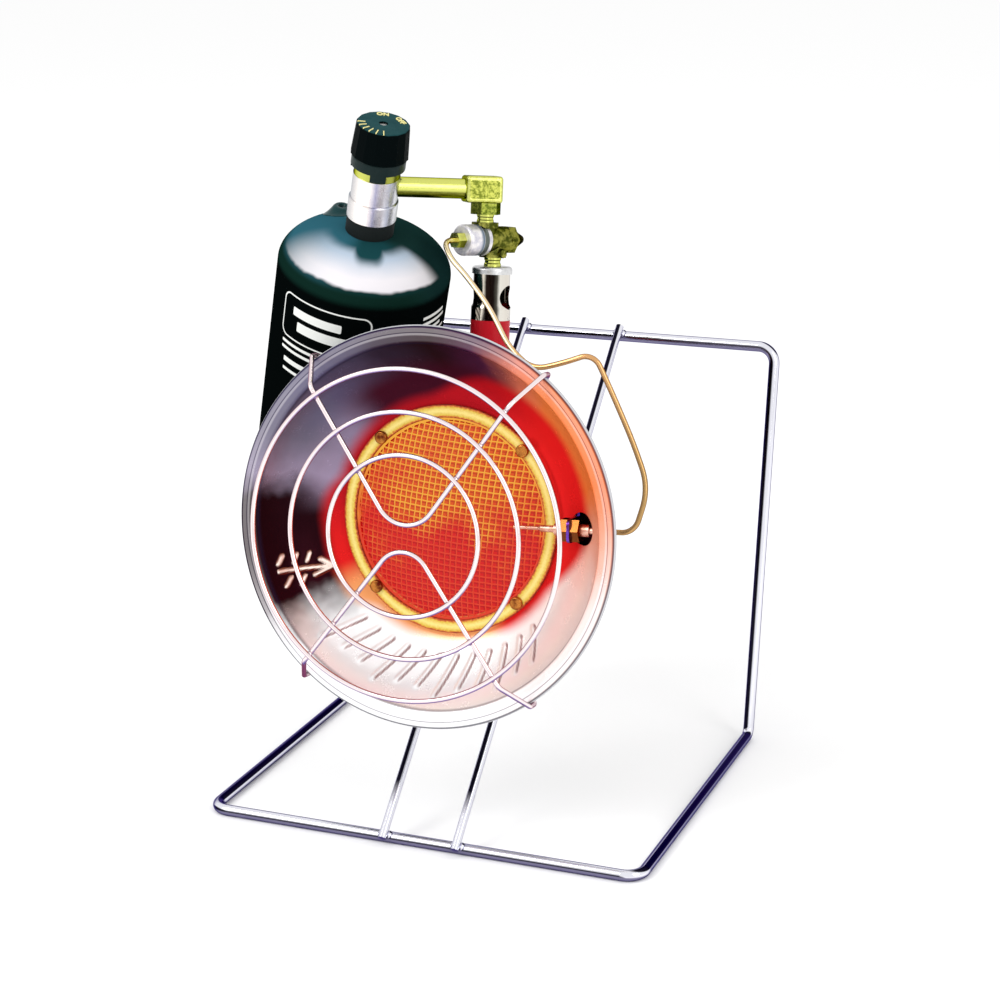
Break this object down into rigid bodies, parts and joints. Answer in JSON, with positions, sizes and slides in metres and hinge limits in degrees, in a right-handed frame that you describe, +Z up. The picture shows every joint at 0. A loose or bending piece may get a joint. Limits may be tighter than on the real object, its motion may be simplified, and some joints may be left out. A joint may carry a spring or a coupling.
{
  "type": "portable gas heater",
  "caption": "Portable gas heater: a reflector burner with a wire guard on a bent wire stand, with a safety valve, a regulator knob and a hanging gas cylinder.",
  "frame": {"origin": "on the floor, at the middle of the stand's base rectangle", "axes": "+Z up, the reflector faces -Y and the stand's back leans towards +Y"},
  "size_m": [0.2865, 0.2788, 0.3943],
  "materials": {
    "chrome_wire": "polished",
    "reflector_chrome": "polished",
    "burner_steel": "heat tinted",
    "screen_mesh": "glowing",
    "ring_yellow": "heat tinted",
    "gasket_fibre": "matt",
    "screw_steel": "plain",
    "red_paint": "gloss",
    "collar_chrome": "polished",
    "brass": "cast",
    "silver_shell": "satin",
    "black_plastic": "satin",
    "black_rubber": "matt",
    "green_paint": "gloss",
    "copper_lead": "bright"
  },
  "bodies": {
    "heater": {"base_frame": "chrome_wire", "strut_left": "chrome_wire", "strut_right": "chrome_wire", "head_bracket": "burner_steel", "bracket_screws": "screw_steel", "reflector_dish": "reflector_chrome", "outer_screen": "screen_mesh", "inner_screen": "screen_mesh", "screen_ring": "ring_yellow", "burner_gasket": "gasket_fibre", "burner_housing": "burner_steel", "diffuser_plate": "burner_steel", "ring_screws": "screw_steel", "guard_fork_upper": "chrome_wire", "guard_fork_lower": "chrome_wire", "guard_ring_outer": "chrome_wire", "guard_ring_middle": "chrome_wire", "guard_ring_inner": "chrome_wire", "mixing_tube": "red_paint", "air_collar": "collar_chrome", "tube_cap": "silver_shell", "gas_jet": "brass", "lower_nipple": "brass", "valve_body": "brass", "test_plug": "brass", "magnet_housing": "silver_shell", "safety_magnet": "screw_steel", "union_nut": "brass", "button_bonnet": "brass", "upper_nipple": "brass", "elbow": "brass", "supply_arm": "brass", "regulator_core": "brass", "depressor_pin": "brass", "regulator_sleeve": "silver_shell", "tank_socket": "silver_shell", "knob_clip": "black_plastic", "thermocouple_probe": "burner_steel", "thermocouple_plate": "burner_steel", "thermocouple_nuts": "brass", "thermocouple_lead": "copper_lead"},
    "knob": {"regulator_knob": "black_plastic", "knob_screw": "screw_steel", "regulator_spindle": "brass"},
    "button": {"safety_button": "brass", "valve_armature": "screw_steel"},
    "cylinder_collar": {"cylinder_seal": "black_rubber"},
    "cylinder": {"cylinder_shell": "green_paint", "cylinder_neck": "screw_steel", "cylinder_valve_core": "brass", "relief_valve": "green_paint", "foot_ring": "green_paint"}
  },
  "joints": [
    {"name": "knob_turn", "type": "hinge", "parent": "heater", "child": "knob", "pos_m": [-0.05353, -0.01694, 0.35344], "axis": [0.2651, -0.2123, 0.9406], "range_deg": [0, 270]},
    {"name": "button_press", "type": "slide", "parent": "heater", "child": "button", "axis": [-0.4131, -0.9004, 0.1362], "range_m": [0, 0.004], "stiffness_N_per_m": 500},
    {"name": "cylinder_travel", "type": "slide", "parent": "heater", "child": "cylinder_collar", "axis": [-0.2651, 0.2123, -0.9406], "range_m": [0, 0.0089]},
    {"name": "cylinder_turn", "type": "hinge", "parent": "cylinder_collar", "child": "cylinder", "pos_m": [-0.05884, -0.0127, 0.33463], "axis": [-0.2651, 0.2123, -0.9406], "range_deg": [0, 2520]}
  ],
  "couplings": [
    {"joint": "cylinder_travel", "follows": "cylinder_turn", "m_per_rad": 0.00020213}
  ]
}
